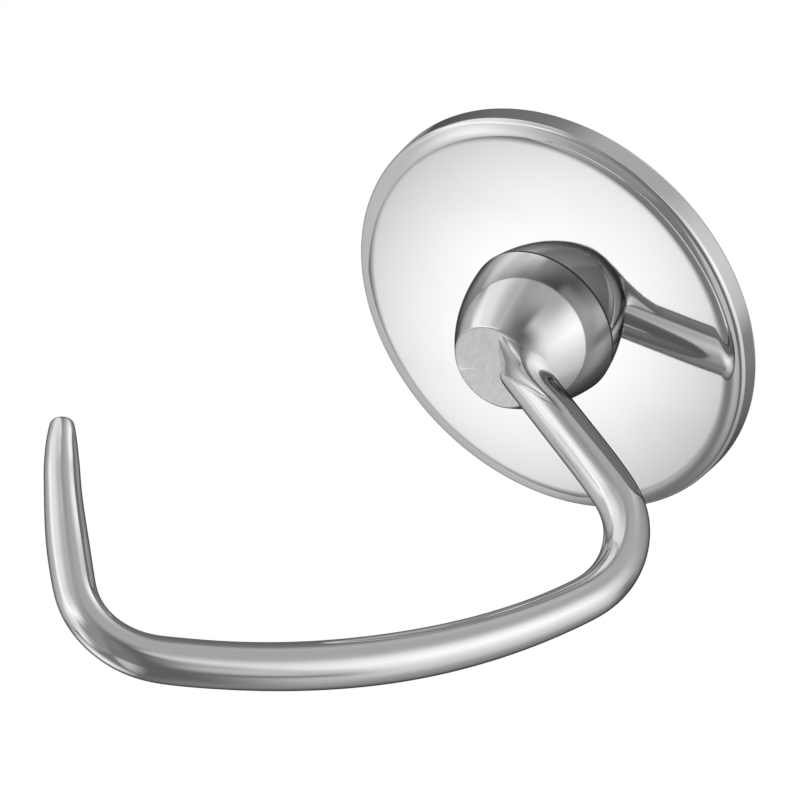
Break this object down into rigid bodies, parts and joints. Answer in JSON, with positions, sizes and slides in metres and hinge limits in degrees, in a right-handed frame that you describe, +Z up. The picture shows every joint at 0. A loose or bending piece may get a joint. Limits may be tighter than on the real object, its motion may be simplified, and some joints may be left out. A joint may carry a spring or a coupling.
{
  "type": "stand mixer dough hook",
  "caption": "C-shaped dough hook for a stand mixer: polished round bar on a domed boss, a round dough shield and a slotted drive sleeve that slides on the mixer's shaft.",
  "frame": {"origin": "on the drive axis, at the upper end of the drive bore's straight wall, 0.7 mm inside its mouth", "axes": "+Z up along the drive axis, out of the bore towards the mixer head; the hook lies in the XZ plane and its arm leaves the boss towards +X"},
  "size_m": [0.1026, 0.0948, 0.1515],
  "materials": {
    "polished_bar": "hand-polished stainless steel with faint lengthwise polishing marks",
    "polished_boss": "polished stainless steel, faint turning marks",
    "root_weld_metal": "ground and polished weld, slightly uneven",
    "mirror_sheet": "mirror-polished stainless sheet",
    "turned_sleeve": "turned stainless steel, satin",
    "sleeve_weld_metal": "ground weld"
  },
  "bodies": {
    "root": {"hook_bar": "polished_bar", "nose_boss": "polished_boss", "root_weld": "root_weld_metal", "shield_disc": "mirror_sheet", "drive_sleeve": "turned_sleeve", "sleeve_weld": "sleeve_weld_metal"}
  },
  "joints": []
}
